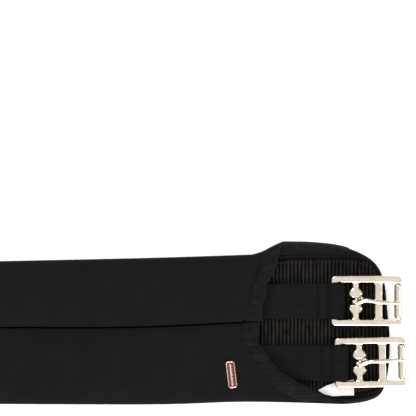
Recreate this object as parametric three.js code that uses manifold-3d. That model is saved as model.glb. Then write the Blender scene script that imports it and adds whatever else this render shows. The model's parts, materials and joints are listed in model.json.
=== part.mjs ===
// A short saddle girth: a ribbed load webbing between a neoprene pad and two folded neoprene wings,
// with two elastic straps at each end, each holding a roller buckle.
// Millimetres. The girth lies flat, horse side down: X runs along it, Y across it, Z up.

import * as THREE from "three";
import { mergeVertices } from "three/addons/utils/BufferGeometryUtils.js";
import Module from "manifold-3d";

const wasm = await Module();
wasm.setup();

// ---------- driving dimensions ----------
const GAP = 0.3;                 // air between pieces that touch
const HALF_WIDTH = 57.5;         // of the end pads
const PAD_T = 5;                 // horse-side neoprene
const WEB_T = 1.8;               // load webbing
const STRAP_T = 1.8;             // elastic strap
const STRAP_W = 24.8;
const SKIRT = 3.6;               // thickness of a wing's folded side wall
const WING_T = 4;
const CORE_T = 4;
const TAPE_T = 0.8;              // binding tape
const SLIT = 1;                  // gap between the two wings

const WEB_Z = PAD_T + GAP;
const STRAP_Z = WEB_Z + WEB_T + GAP;
const CORE_Z = STRAP_Z;
const WING_Z = CORE_Z + CORE_T + GAP;
const WING_TOP = WING_Z + WING_T;

// buckle, measured from the axis of its heel bar
const HEEL_R = 1.7;
const LOOP_IN = 2.1;             // inside radius of the strap's fold
const LOOP_OUT = LOOP_IN + STRAP_T;
const LOOP_X = 2.3;              // the fold's centre lies this far beyond the heel bar
const AXIS_Z = STRAP_Z + LOOP_OUT;
const BUCKLE = {
  back: -2.4, front: 47.4, halfWidth: 17.65, window: 13, thick: 4.6, corner: 5,
  barX: 15.2, neckR: 1.1, crossX: 31.25, crossW: 5.1, crossT: 3, pinX: 45.2, pinR: 1.5,
};
const ROLLER = { r: 3, bore: 1.8, length: 23.4 };
const TONGUE = { wire: 1.2, eyeIn: 1.35, eyeOut: 3.75, eyeW: 2.5, tipX: 48 };

const LOOP_TAIL = 12.7;          // doubled strap behind the heel bar
const STITCH_X = -10.2;          // fold stitching, from the heel bar
const ANCHOR_X = 204;            // sewn end of each strap, under the wings

// the four straps: end of the girth, heel bar position and how far the buckle sits askew
const STRAPS = [
  { name: "upper_right", end: 1, x: 275, y: 15.9, skew: 0 },
  { name: "lower_right", end: 1, x: 277.6, y: -28, skew: 1.2 },
  { name: "upper_left", end: -1, x: 275, y: 15.9, skew: 0 },
  { name: "lower_left", end: -1, x: 277.6, y: -28, skew: -1.2 },
];

// ---------- materials ----------
const paint = (color, roughness, metalness = 0) =>
  new THREE.MeshStandardMaterial({ color, roughness, metalness });
const NEOPRENE = paint(0x1c1b1d, 0.9);
const FOAM = paint(0x3a3a3c, 0.95);
const WEBBING = paint(0x191817, 0.7);
const ELASTIC = paint(0x171818, 0.75);
const TAPE = paint(0x222021, 0.85);
const THREAD = paint(0x3a3a3a, 0.7);
const NICKEL = paint(0xd9cdbd, 0.15, 1);
const COPPER = paint(0xb07a6c, 0.3, 1);
const LABEL = paint(0xf2f2f2, 0.8);

// ---------- shape helpers ----------
const points = (list) => list.map(([x, y]) => new THREE.Vector2(x, y));
const mirrored = (list) => list.map(([x, y]) => [-x, y]).reverse();

// a closed outline through lists of points, each list a smooth curve
function outline(curves) {
  const shape = new THREE.Shape();
  shape.moveTo(...curves[0][0]);
  for (const curve of curves) {
    if (shape.currentPoint.distanceTo(new THREE.Vector2(...curve[0])) > 1e-6) shape.lineTo(...curve[0]);
    if (curve.length === 2) shape.lineTo(...curve[1]);
    else shape.splineThru(points(curve.slice(1)));
  }
  return shape;
}

function slab(shape, low, high, curveSegments = 3) {
  const depth = high - low;
  const made = new THREE.ExtrudeGeometry(shape, { depth, bevelEnabled: false, curveSegments });
  return made.translate(0, 0, low);
}

// a profile drawn in X and Z, run across the girth
function across(shape, width, curveSegments = 5) {
  const made = new THREE.ExtrudeGeometry(shape, { depth: width, bevelEnabled: false, curveSegments });
  return made.rotateX(Math.PI / 2).translate(0, width / 2, 0);
}

function box(x0, x1, y0, y1, z0, z1) {
  const made = new THREE.BoxGeometry(x1 - x0, y1 - y0, z1 - z0);
  return made.translate((x0 + x1) / 2, (y0 + y1) / 2, (z0 + z1) / 2);
}

function roundBar(x, radius, length, sides = 12) {
  return new THREE.CylinderGeometry(radius, radius, length, sides).translate(x, 0, 0);
}

function roundedSlab(x0, x1, half, corner, thick, bevel) {
  const s = new THREE.Shape();
  s.moveTo(x0 + corner, -half);
  s.lineTo(x1 - corner, -half);
  s.absarc(x1 - corner, -half + corner, corner, -Math.PI / 2, 0);
  s.lineTo(x1, half - corner);
  s.absarc(x1 - corner, half - corner, corner, 0, Math.PI / 2);
  s.lineTo(x0 + corner, half);
  s.absarc(x0 + corner, half - corner, corner, Math.PI / 2, Math.PI);
  s.lineTo(x0, -half + corner);
  s.absarc(x0 + corner, -half + corner, corner, Math.PI, 1.5 * Math.PI);
  return bevelled(s, thick, bevel);
}

// a plate centred on z = 0 with its edges rounded inside the outline
function bevelled(shape, thick, bevel, curveSegments = 2) {
  const made = new THREE.ExtrudeGeometry(shape, {
    depth: thick - 2 * bevel, bevelThickness: bevel, bevelSize: bevel, bevelOffset: -bevel,
    bevelSegments: 1, curveSegments,
  });
  return made.translate(0, 0, bevel - thick / 2);
}

// ---------- joining and cutting ----------
function solid(geometry) {
  const bare = new THREE.BufferGeometry();
  const source = geometry.index ? geometry.toNonIndexed() : geometry;
  bare.setAttribute("position", source.getAttribute("position"));
  const merged = mergeVertices(bare, 1e-4);
  const vertProperties = merged.attributes.position.array;
  const triVerts = new Uint32Array(merged.index.array);
  return new wasm.Manifold(new wasm.Mesh({ numProp: 3, vertProperties, triVerts }));
}

function toGeometry(made) {
  const mesh = made.getMesh();
  const geometry = new THREE.BufferGeometry();
  geometry.setAttribute("position", new THREE.BufferAttribute(mesh.vertProperties, 3));
  geometry.setIndex(new THREE.BufferAttribute(mesh.triVerts, 1));
  geometry.computeVertexNormals();
  return geometry;
}

const cut = (base, ...tools) => tools.reduce((left, tool) => left.subtract(solid(tool)), solid(base));
const join = (...pieces) => pieces.map(solid).reduce((sum, piece) => sum.add(piece));

// ---------- the outlines seen from above, right half; the left half mirrors them ----------
const BODY_TOP = [[0, 43.2], [138, 46.2], [205, 48.3], [217, 48.8]];
const SHOULDER = [[217, 48.8], [224, 50.9], [230, 54.1], [237, HALF_WIDTH]];
const BODY_LOW = [[0, -57], [145, -57.5], [213, -55.6], [284, -HALF_WIDTH]];
const END_TOP = [[244, 57.5], [259, 57.1], [276, 55.3], [290, 51.3], [301, 45.3], [307.5, 37.6], [311.2, 26]];
const END_LOW = [[314.6, -10], [314, -28], [311.5, -43], [306.7, -51.5], [297, -55.7], [284, -HALF_WIDTH]];
const SLIT_LINE = [[0, -3.2], [46, -2.9], [137, -2.6], [224, 1.6]];
const UPPER_EDGE = [[238.1, HALF_WIDTH], [233.6, 41], [227.3, 23], [223.3, 1.6]];
const UPPER_SEAM = [[227.5, 53], [222.6, 36], [216.3, 18], [212.3, 1.2]];
const LOWER_EDGE = [
  [220.8, 1.4], [223.6, -15], [235.4, -32.6], [252.1, -43.4], [268.2, -51.6], [284, -HALF_WIDTH],
];
const LOWER_SEAM = [[210, 1], [212.4, -12], [222.5, -31], [239.8, -47.6], [260, -57.1]];
const WEB_TOP = [[0, 39.2], [138, 42], [200, 43.6], [255, 45.5]];
const WEB_END_TOP = [[255, 45.5], [284, 45.2], [298, 43.2], [305.8, 35.2], [309.4, 26]];
const WEB_END_LOW = [[313.6, -10], [312, -33], [305, -45.5], [288, -49.6]];
const WEB_LOW = [[0, -52.8], [137, -53.1], [205, -51.5], [255, -50], [288, -49.6]];

const shifted = (list, dx, dy = 0) => list.map(([x, y]) => [x + dx, y + dy]);

function bothEnds(top, end, low) {
  // top edge from left to right, round the right end, back along the low edge, round the left end
  const reversed = (list) => [...list].reverse();
  const fullTop = [...mirrored(top).slice(0, -1), ...top];
  const fullLow = reversed([...mirrored(low).slice(0, -1), ...low]);
  return outline([fullTop, ...end, fullLow, ...reversed(end).map(mirrored)]);
}

// ---------- soft pieces ----------
function horseSidePad() {
  const end = [SHOULDER, [SHOULDER.at(-1), END_TOP[0]], END_TOP, [END_TOP.at(-1), END_LOW[0]], END_LOW];
  return slab(bothEnds(BODY_TOP, end, BODY_LOW), 0, PAD_T);
}

const loadWebbing = () => slab(
  bothEnds(WEB_TOP, [WEB_END_TOP, [WEB_END_TOP.at(-1), WEB_END_LOW[0]], WEB_END_LOW], WEB_LOW),
  WEB_Z, WEB_Z + WEB_T,
);

function coreFoam() {
  const top = shifted(BODY_TOP.slice(0, 2), 0, -SKIRT - 1.4).concat([[186, 41]]);
  const low = shifted(BODY_LOW.slice(0, 2), 0, SKIRT + 1.4).concat([[186, -51]]);
  return slab(bothEnds(top, [[top.at(-1), low.at(-1)]], low), CORE_Z, CORE_Z + CORE_T);
}

// a wing's outline, moved out by grow on its bound edge
function wingShape(upper, grow) {
  const slit = shifted(SLIT_LINE, 0, upper ? SLIT / 2 : -SLIT / 2);
  if (upper) {
    const edge = shifted(UPPER_EDGE, -TAPE_T - GAP + grow);
    return bothEnds(BODY_TOP, [SHOULDER, edge], slit.slice(0, -1).concat([edge.at(-1)]));
  }
  const edge = shifted(LOWER_EDGE, -TAPE_T - GAP + grow);
  return bothEnds(slit.slice(0, -1).concat([edge[0]]), [edge], BODY_LOW.slice(0, -1).concat([edge.at(-1)]));
}

// the room inside a wing for the foam, webbing and straps, made smaller by margin on its long side
function wingPocket(upper, margin = 0) {
  const far = 320;
  const wall = SKIRT + margin;
  if (upper) {
    const top = shifted(BODY_TOP, 0, -wall);
    const shoulder = shifted(SHOULDER, 0, -wall);
    const corner = [far, HALF_WIDTH - wall];
    const low = [[0, -20], [far, -20]];
    return bothEnds(top, [shoulder, [shoulder.at(-1), corner], [corner, low[1]]], low);
  }
  const low = shifted(BODY_LOW, 0, wall);
  const corner = [far, -HALF_WIDTH + wall];
  const top = [[0, 20], [far, 20]];
  return bothEnds(top, [[top[1], corner], [corner, low.at(-1)]], low);
}

const BADGE = { x: 202, y: -36, length: 19, width: 6.4, thick: 1.2, tilt: 7, prongR: 0.6, prongY: 6 };

const prongs = (radius, depth) => [-1, 1].map((side) => {
  const pin = new THREE.CylinderGeometry(radius, radius, depth, 10).rotateX(Math.PI / 2);
  return pin.translate(0, side * BADGE.prongY, -depth / 2);
});

const placeBadge = (geometry) =>
  geometry.rotateZ(THREE.MathUtils.degToRad(BADGE.tilt)).translate(BADGE.x, BADGE.y, WING_TOP + GAP);

function wing(upper) {
  const whole = slab(wingShape(upper, 0), WEB_Z, WING_TOP);
  const pocket = slab(wingPocket(upper), WEB_Z - 1, WING_Z);
  const holes = upper ? [] : prongs(BADGE.prongR + GAP, 12).map(placeBadge);
  return toGeometry(cut(whole, pocket, ...holes));
}

function binding(upper, end) {
  const edge = upper ? UPPER_EDGE : LOWER_EDGE;
  const seam = [...(upper ? UPPER_SEAM : LOWER_SEAM)].reverse();
  const band = outline([edge, [edge.at(-1), seam[0]], seam, [seam.at(-1), edge[0]]]);
  const low = WING_Z - GAP - TAPE_T;
  const tape = slab(band, low, WING_TOP + GAP + TAPE_T);
  const neoprene = cut(
    slab(wingShape(upper, GAP), low - 1, WING_TOP + GAP),
    slab(wingPocket(upper, GAP), low - 2, WING_Z - GAP),
  );
  const made = toGeometry(cut(tape, skirtZone(upper), slitZone(upper)).subtract(neoprene));
  return end > 0 ? made : flipped(made);
}

// the strip over a wing's side wall, which the tape doesn't enter
const skirtZone = (upper) => (upper ? box(200, 300, 52.5, 70, 0, 30) : box(200, 300, -70, -53, 0, 30));
// the tape stops just short of the slit between the wings
const slitZone = (upper) => (upper ? box(200, 240, -5, 2.6, 0, 30) : box(200, 240, 0.2, 5, 0, 30));

// the mirror image in X, with its faces turned back outwards
function flipped(geometry) {
  const made = geometry.toNonIndexed();
  const p = made.getAttribute("position");
  for (let i = 0; i < p.count; i += 3) {
    const a = [p.getX(i + 1), p.getY(i + 1), p.getZ(i + 1)];
    p.setXYZ(i + 1, p.getX(i + 2), p.getY(i + 2), p.getZ(i + 2));
    p.setXYZ(i + 2, ...a);
  }
  for (let i = 0; i < p.count; i += 1) p.setX(i, -p.getX(i));
  made.computeVertexNormals();
  return made;
}

// ---------- straps ----------
function elasticStrap(strap) {
  const length = strap.x - LOOP_TAIL - GAP - ANCHOR_X;
  const middle = -LOOP_TAIL - GAP - length / 2;
  const bottom = -LOOP_OUT;
  return box(middle - length / 2, middle + length / 2, -STRAP_W / 2, STRAP_W / 2, bottom, bottom + STRAP_T);
}

function strapLoop() {
  const doubled = -LOOP_OUT + 2 * STRAP_T;
  const s = new THREE.Shape();
  s.moveTo(-LOOP_TAIL, -LOOP_OUT);
  s.lineTo(LOOP_X, -LOOP_OUT);
  s.absarc(LOOP_X, 0, LOOP_OUT, -Math.PI / 2, Math.PI / 2);
  s.lineTo(0.5, LOOP_OUT);
  s.bezierCurveTo(-4, LOOP_OUT, -4.5, doubled, -9.5, doubled);
  s.lineTo(-LOOP_TAIL, doubled);
  const hole = new THREE.Path();
  hole.moveTo(LOOP_X, -LOOP_IN);
  hole.absarc(LOOP_X, 0, LOOP_IN, -Math.PI / 2, Math.PI / 2);
  hole.lineTo(0.5, LOOP_IN);
  hole.bezierCurveTo(-2.6, LOOP_IN, -3.4, -LOOP_IN + 0.2, -6, -LOOP_IN);
  s.holes.push(hole);
  return across(s, STRAP_W);
}

// one row of zigzag stitching across a strap, its threads joined
function stitchRow(x, z, rows = 9) {
  const half = STRAP_W / 2 - 1.2;
  const step = (2 * half) / rows;
  const [swing, thread] = [0.9, 0.35];
  const side = (shift) => Array.from({ length: rows + 1 }, (_, i) =>
    new THREE.Vector2(x + shift + (i % 2 ? swing : -swing), -half + i * step));
  const shape = new THREE.Shape([...side(thread), ...side(-thread).reverse()]);
  return slab(shape, z, z + 0.4);
}

// ---------- buckle ----------
function buckleFrame() {
  const b = BUCKLE;
  const ring = cut(
    roundedSlab(b.back, b.front, b.halfWidth, b.corner, b.thick, 0.9),
    roundedSlab(2.3, 42.8, b.window, 1.6, b.thick + 2, 0.2),
    box(-5, 3.5, -b.window + 0.1, b.window - 0.1, -4, 4),
    box(41, 50, -ROLLER.length / 2 - GAP, ROLLER.length / 2 + GAP, -4, 4),
  );
  const reach = 2 * b.window + 2;
  const [near, far] = [b.crossX - b.crossW / 2, b.crossX + b.crossW / 2];
  const parts = [
    roundBar(0, HEEL_R, reach), roundBar(b.pinX, b.pinR, reach), roundBar(b.barX, b.neckR, 6),
    box(near, far, -reach / 2, reach / 2, -b.crossT / 2, b.crossT / 2),
    lobe(1), lobe(-1),
  ];
  return toGeometry(parts.reduce((sum, part) => sum.add(solid(part)), ring));
}

// one bulb of the shaped centre bar, from beside the tongue's eye to the side rail
function lobe(side) {
  const x = BUCKLE.barX;
  const widths = [[1.7, 2.6], [3.4, 4.3], [5, 4.65], [7.2, 3.4], [9.2, 2.2], [13.6, 2.3]];
  const right = widths.map(([y, w]) => [x + w, y]);
  const left = widths.map(([y, w]) => [x - w, y]).reverse();
  const shape = outline([right, [right.at(-1), left[0]], left]);
  const made = bevelled(shape, 3.6, 0.6, 1);
  return side > 0 ? made : made.rotateZ(Math.PI).translate(2 * x, 0, 0);
}

function buckleRoller() {
  const { r, bore, length } = ROLLER;
  const [half, edge] = [length / 2, 0.5];
  const outside = [[r - edge, -half], [r, -half + edge], [r, half - edge], [r - edge, half]];
  const profile = points([[bore, -half], ...outside, [bore, half], [bore, -half]]);
  return new THREE.LatheGeometry(profile, 16).translate(BUCKLE.pinX, 0, 0);
}

function buckleTongue() {
  const { wire, eyeIn, eyeOut, eyeW, tipX } = TONGUE;
  const x = BUCKLE.barX;
  const ring = new THREE.Shape();
  ring.absarc(x, 0, eyeOut, 0, 2 * Math.PI);
  ring.holes.push(new THREE.Path().absarc(x, 0, eyeIn, 0, 2 * Math.PI, true));
  const middle = (eyeIn + eyeOut) / 2;
  const over = ROLLER.r + wire + 0.25;
  const way = [
    [x + 0.4, 0, middle], [19.5, 0, 2.8], [22.5, 0.7, 3.3], [26, 0, 3.6], [36, 0, 4.1],
    [BUCKLE.pinX, 0, over], [tipX, 0, over - 0.2],
  ];
  const path = new THREE.CatmullRomCurve3(way.map((p) => new THREE.Vector3(...p)));
  const section = new THREE.Shape().absarc(0, 0, wire, 0, 2 * Math.PI);
  const shaft = new THREE.ExtrudeGeometry(section, { extrudePath: path, steps: 14, curveSegments: 4 });
  const crimp = new THREE.CylinderGeometry(1.65, 1.65, 2.6, 8);
  crimp.rotateZ(Math.PI / 2).translate(22.3, 0.5, 3.25);
  return toGeometry(join(across(ring, eyeW, 7), shaft, crimp));
}

// ---------- small trim ----------
function badgePlate() {
  const plate = roundedSlab(-BADGE.width / 2, BADGE.width / 2, BADGE.length / 2, 1.5, BADGE.thick, 0.3);
  const pins = prongs(BADGE.prongR, 5).map((pin) => pin.translate(0, 0, 0.4));
  return placeBadge(toGeometry(join(plate.translate(0, 0, BADGE.thick / 2), ...pins)));
}

const LABEL_CORNERS = [[263.8, -46.6], [270, -42.4], [288.9, -40.9], [288.9, -51.6], [276, -51.7]];

function sizeLabel() {
  const sides = LABEL_CORNERS.map((corner, i) => [corner, LABEL_CORNERS[(i + 1) % LABEL_CORNERS.length]]);
  return slab(outline(sides), STRAP_Z, STRAP_Z + 0.4);
}

// ---------- assembly ----------
const girth = new THREE.Group();

function add(parent, name, geometry, material) {
  const mesh = new THREE.Mesh(geometry, material);
  mesh.name = name;
  parent.add(mesh);
}

add(girth, "horse_side_pad", horseSidePad(), NEOPRENE);
add(girth, "load_webbing", loadWebbing(), WEBBING);
add(girth, "core_foam", coreFoam(), FOAM);
add(girth, "upper_wing", wing(true), NEOPRENE);
add(girth, "lower_wing", wing(false), NEOPRENE);
for (const [end, word] of [[1, "right"], [-1, "left"]]) {
  add(girth, `binding_upper_${word}`, binding(true, end), TAPE);
  add(girth, `binding_lower_${word}`, binding(false, end), TAPE);
}
add(girth, "badge_plate", badgePlate(), COPPER);
add(girth, "size_label", sizeLabel(), LABEL);

for (const strap of STRAPS) {
  const strapGroup = new THREE.Group();
  strapGroup.position.set(strap.end * strap.x, strap.y, AXIS_Z);
  strapGroup.rotation.z = strap.end > 0 ? 0 : Math.PI;
  girth.add(strapGroup);
  const doubledTop = -LOOP_OUT + 2 * STRAP_T;
  add(strapGroup, `elastic_strap_${strap.name}`, elasticStrap(strap), ELASTIC);
  add(strapGroup, `anchor_stitch_${strap.name}`,
    stitchRow(ANCHOR_X - strap.x + 5, -LOOP_OUT + STRAP_T + GAP), THREAD);
  add(strapGroup, `strap_loop_${strap.name}`, strapLoop(), ELASTIC);
  add(strapGroup, `fold_stitch_${strap.name}`, stitchRow(STITCH_X, doubledTop + GAP), THREAD);

  const buckle = new THREE.Group();
  buckle.rotation.z = THREE.MathUtils.degToRad(strap.skew);
  strapGroup.add(buckle);
  add(buckle, `buckle_frame_${strap.name}`, buckleFrame(), NICKEL);
  add(buckle, `buckle_roller_${strap.name}`, buckleRoller(), NICKEL);
  add(buckle, `buckle_tongue_${strap.name}`, buckleTongue(), NICKEL);
}

export default girth;
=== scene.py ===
"""The looks of a short saddle girth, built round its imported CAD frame.

The girth lies flat: X runs along it, Y across it, Z up. Lengths below are millimetres unless a name
says otherwise, and every mesh is turned to metres where it is made.
"""

import json
import math

import bmesh
import bpy
import numpy as np
from mathutils import Matrix, Vector, noise
from mathutils.bvhtree import BVHTree


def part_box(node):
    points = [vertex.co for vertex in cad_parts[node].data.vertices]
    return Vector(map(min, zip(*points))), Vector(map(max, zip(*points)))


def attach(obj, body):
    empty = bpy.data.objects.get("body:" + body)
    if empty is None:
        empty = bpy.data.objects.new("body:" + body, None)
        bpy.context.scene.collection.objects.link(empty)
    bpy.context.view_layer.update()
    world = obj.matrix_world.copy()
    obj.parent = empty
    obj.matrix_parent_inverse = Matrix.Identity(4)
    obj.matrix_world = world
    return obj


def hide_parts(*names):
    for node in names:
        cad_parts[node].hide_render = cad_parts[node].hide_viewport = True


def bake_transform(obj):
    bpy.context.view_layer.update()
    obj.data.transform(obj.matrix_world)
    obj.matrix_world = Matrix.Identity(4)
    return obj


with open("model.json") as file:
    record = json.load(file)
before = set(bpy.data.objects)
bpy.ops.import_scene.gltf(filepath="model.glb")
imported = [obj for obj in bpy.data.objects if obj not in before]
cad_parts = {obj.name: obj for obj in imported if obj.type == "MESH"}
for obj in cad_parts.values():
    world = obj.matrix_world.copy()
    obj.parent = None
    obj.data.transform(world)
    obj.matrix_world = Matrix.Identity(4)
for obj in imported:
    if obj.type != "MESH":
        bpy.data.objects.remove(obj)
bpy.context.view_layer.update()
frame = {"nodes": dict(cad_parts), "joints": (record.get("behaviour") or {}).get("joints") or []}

MM = 0.001


def low_high(node):
    """A CAD node's lowest and highest corner, in millimetres."""
    low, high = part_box(node)
    return np.array(low) / MM, np.array(high) / MM


# ---------- heights and places, read from the frame ----------
PAD_TOP = low_high("horse_side_pad")[1][2]
WEB_LOW_Z, WEB_TOP_Z = low_high("load_webbing")[0][2], low_high("load_webbing")[1][2]
WING_TOP = low_high("upper_wing")[1][2]
WING_FOOT = low_high("upper_wing")[0][2]
STRAP_LOW, STRAP_TOP = (low_high("elastic_strap_upper_right")[i][2] for i in (0, 1))
JOINTS = {j["name"]: j for j in frame["joints"]}
STRAPS = ("upper_right", "lower_right", "upper_left", "lower_left")
HALF_WIDTH = low_high("horse_side_pad")[1][1]

# ---------- the outlines seen from above, right half, as the CAD part has them ----------
BODY_TOP = [(0, 43.2), (138, 46.2), (205, 48.3), (217, 48.8)]
SHOULDER = [(217, 48.8), (224, 50.9), (230, 54.1), (237, HALF_WIDTH)]
BODY_LOW = [(0, -57), (145, -57.5), (213, -55.6), (284, -HALF_WIDTH)]
END_TOP = [(244, 57.5), (259, 57.1), (276, 55.3), (290, 51.3), (301, 45.3), (307.5, 37.6), (311.2, 26)]
END_LOW = [(314.6, -10), (314, -28), (311.5, -43), (306.7, -51.5), (297, -55.7), (284, -HALF_WIDTH)]
SLIT_LINE = [(0, -3.2), (46, -2.9), (137, -2.6), (224, 1.6)]
UPPER_EDGE = [(238.1, HALF_WIDTH), (233.6, 41), (227.3, 23), (223.3, 1.6)]
UPPER_SEAM = [(226.4, 51.6), (221.6, 36), (216.3, 18), (212.3, 1.2)]
LOWER_EDGE = [(220.8, 1.4), (223.6, -15), (235.4, -32.6), (252.1, -43.4), (268.2, -51.6), (284, -HALF_WIDTH)]
LOWER_SEAM = [(210.4, 1), (212.6, -12), (221.8, -31), (237.8, -47.6), (258, -56.4)]
WEB_TOP = [(0, 39.2), (138, 42), (200, 43.6), (255, 45.5)]
WEB_END_TOP = [(255, 45.5), (284, 45.2), (298, 43.2), (305.8, 35.2), (309.4, 26)]
WEB_END_LOW = [(313.6, -10), (312, -33), (305, -45.5), (288, -49.6)]
WEB_LOW = [(0, -52.8), (137, -53.1), (205, -51.5), (255, -50), (288, -49.6)]


# ---------- small mathematics ----------
def spline(points, per_span=10):
    """Points along a smooth curve through the given ones."""
    p = np.array(points, float)
    if len(p) == 2:
        return p
    around = np.vstack([p[:1], p, p[-1:]])
    out = []
    t = np.linspace(0, 1, per_span, endpoint=False)[:, None]
    for i in range(len(p) - 1):
        a, b, c, d = around[i:i + 4]
        v0, v1 = (c - a) / 2, (d - b) / 2
        out.append((2 * b - 2 * c + v0 + v1) * t**3 + (-3 * b + 3 * c - 2 * v0 - v1) * t**2 + v0 * t + b)
    return np.vstack(out + [p[-1:]])


def smooth(t):
    """0 up to t = 0, 1 from t = 1 on, and a soft step between."""
    t = np.clip(t, 0, 1)
    return t * t * (3 - 2 * t)


def resample(path, step, closed=False):
    """The same path with points an even step apart."""
    path = np.asarray(path, float)
    if closed:
        path = np.vstack([path, path[:1]])
    run = np.r_[0, np.cumsum(np.linalg.norm(np.diff(path, axis=0), axis=1))]
    count = max(3, int(round(run[-1] / step)))
    at = np.linspace(0, run[-1], count + 1)
    if closed:
        at = at[:-1]
    return np.stack([np.interp(at, run, path[:, k]) for k in range(path.shape[1])], axis=1)


def drift(x, y, z, scale, seed):
    """Smooth noise from -1 to 1 at a point; scale is the size of its lumps."""
    return noise.noise(Vector((x / scale + seed, y / scale + 3.1 * seed, z / scale - seed)))


def quarter_round(inset, radius):
    """How far up a rounded edge the surface has come, 0 to 1, at a distance in from the edge."""
    return math.sqrt(max(0.0, 1 - (1 - min(inset / radius, 1)) ** 2))


# ---------- mesh helpers ----------
def new_object(name, data):
    made = bpy.data.objects.new(name, data)
    bpy.context.scene.collection.objects.link(made)
    return made


def ray_tree(piece):
    """The piece's surface, for rays to be cast at."""
    return BVHTree.FromObject(piece, bpy.context.evaluated_depsgraph_get())


def mesh_object(name, verts, faces, material, sharp_angle=None):
    """A piece from points in millimetres."""
    mesh = bpy.data.meshes.new(name)
    mesh.from_pydata((np.asarray(verts, float) * MM).tolist(), [], [list(map(int, f)) for f in faces])
    mesh.materials.append(material)
    mesh.update()
    made = new_object(name, mesh)
    turn_outwards(made)
    shade(made, sharp_angle)
    return made


def turn_outwards(piece):
    """A closed piece's normals face out of it."""
    bm = bmesh.new()
    bm.from_mesh(piece.data)
    bmesh.ops.recalc_face_normals(bm, faces=bm.faces)
    bm.to_mesh(piece.data)
    bm.free()


def shade(piece, sharp_angle=None):
    piece.data.polygons.foreach_set("use_smooth", [True] * len(piece.data.polygons))
    if sharp_angle:
        piece.data.set_sharp_from_angle(angle=math.radians(sharp_angle))


def grid_faces(rows, cols, wrap_rows=False, wrap_cols=False):
    """Quads between the points of a grid, which are given row by row."""
    faces = []
    for r in range(rows if wrap_rows else rows - 1):
        here, there = r * cols, (r + 1) % rows * cols
        for c in range(cols if wrap_cols else cols - 1):
            c2 = (c + 1) % cols
            faces.append((here + c, here + c2, there + c2, there + c))
    return faces


def band_faces(loops, cols):
    """Faces of a solid whose loops run along it: closed round it, and at both ends."""
    ends = [[r * cols + column for r in range(loops)] for column in (0, cols - 1)]
    return grid_faces(loops, cols, wrap_rows=True) + ends


def tube(rings, wrap=False):
    """Points and faces of a closed solid, from rings of points carried along, with flat ends."""
    count, sides = len(rings), len(rings[0])
    faces = grid_faces(count, sides, wrap, True)
    if not wrap:
        faces += [tuple(range(sides))[::-1], tuple(range((count - 1) * sides, count * sides))]
    return np.vstack(rings), faces


def sweep(path, radius, sides=12):
    """A round wire along a path; radius is one number, or one for each point."""
    path = np.asarray(path, float)
    radii = np.broadcast_to(radius, len(path))
    along = np.gradient(path, axis=0)
    along /= np.linalg.norm(along, axis=1)[:, None]
    side = np.cross(along[0], (0, 0, 1) if abs(along[0][2]) < 0.9 else (0, 1, 0))
    angle = np.linspace(0, 2 * math.pi, sides, endpoint=False)
    rings = []
    for point, direction, r in zip(path, along, radii):
        side = side - direction * side.dot(direction)
        side /= np.linalg.norm(side)
        up = np.cross(direction, side)
        rings.append(point + r * (np.cos(angle)[:, None] * side + np.sin(angle)[:, None] * up))
    return tube(rings)


def join_parts(parts):
    """Several (points, faces) as one."""
    verts, faces, base = [], [], 0
    for v, f in parts:
        verts.append(np.asarray(v, float))
        faces += [tuple(base + i for i in face) for face in f]
        base += len(v)
    return np.vstack(verts), faces


def apply_modifiers(piece):
    """The piece keeps what its modifiers make of it, and loses them."""
    graph = bpy.context.evaluated_depsgraph_get()
    made = bpy.data.meshes.new_from_object(piece.evaluated_get(graph))
    piece.modifiers.clear()
    old, piece.data = piece.data, made
    made.name = piece.name
    bpy.data.meshes.remove(old)
    return piece


def coords(piece):
    """The piece's points, in millimetres."""
    out = np.zeros(len(piece.data.vertices) * 3)
    piece.data.vertices.foreach_get("co", out)
    return out.reshape(-1, 3) / MM


def set_coords(piece, points):
    piece.data.vertices.foreach_set("co", (points * MM).ravel())
    piece.data.update()


def thicken(piece, thickness, outwards=False):
    solid = piece.modifiers.new("thickness", "SOLIDIFY")
    solid.thickness = thickness * MM
    solid.offset = 1 if outwards else -1
    solid.use_even_offset = False
    return apply_modifiers(piece)


def subdivide(piece):
    rounder = piece.modifiers.new("rounder", "SUBSURF")
    rounder.levels = rounder.render_levels = 1
    return apply_modifiers(piece)


def inflate(piece, pinned, pressure, cap, frames=20):
    """A short cloth simulation: air pressure fills the piece out, and no point moves further than cap."""
    before = coords(piece)
    group = piece.vertex_groups.new(name="held")
    for i, weight in enumerate(pinned):
        if weight > 0:
            group.add([i], float(weight), "REPLACE")
    cloth = piece.modifiers.new("cloth", "CLOTH")
    cloth.settings.effector_weights.gravity = 0
    chosen = {"vertex_group_mass": "held", "use_pressure": True, "uniform_pressure_force": pressure,
              "quality": 5, "tension_stiffness": 25, "compression_stiffness": 25, "bending_stiffness": 1.5}
    for key, value in chosen.items():
        setattr(cloth.settings, key, value)
    cloth.point_cache.frame_end = frames
    for number in range(1, frames + 1):
        bpy.context.scene.frame_set(number)
    graph = bpy.context.evaluated_depsgraph_get()
    made = piece.evaluated_get(graph).to_mesh()
    after = np.zeros(len(made.vertices) * 3)
    made.vertices.foreach_get("co", after)
    after = after.reshape(-1, 3) / MM
    piece.modifiers.clear()
    piece.vertex_groups.clear()
    bpy.context.scene.frame_set(1)
    move = after - before
    length = np.linalg.norm(move, axis=1)[:, None]
    set_coords(piece, before + move * np.minimum(1, cap / np.maximum(length, 1e-9)))


# ---------- materials ----------
RIB_PITCH = 2.65
RIB_HEIGHT = 0.75


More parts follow.
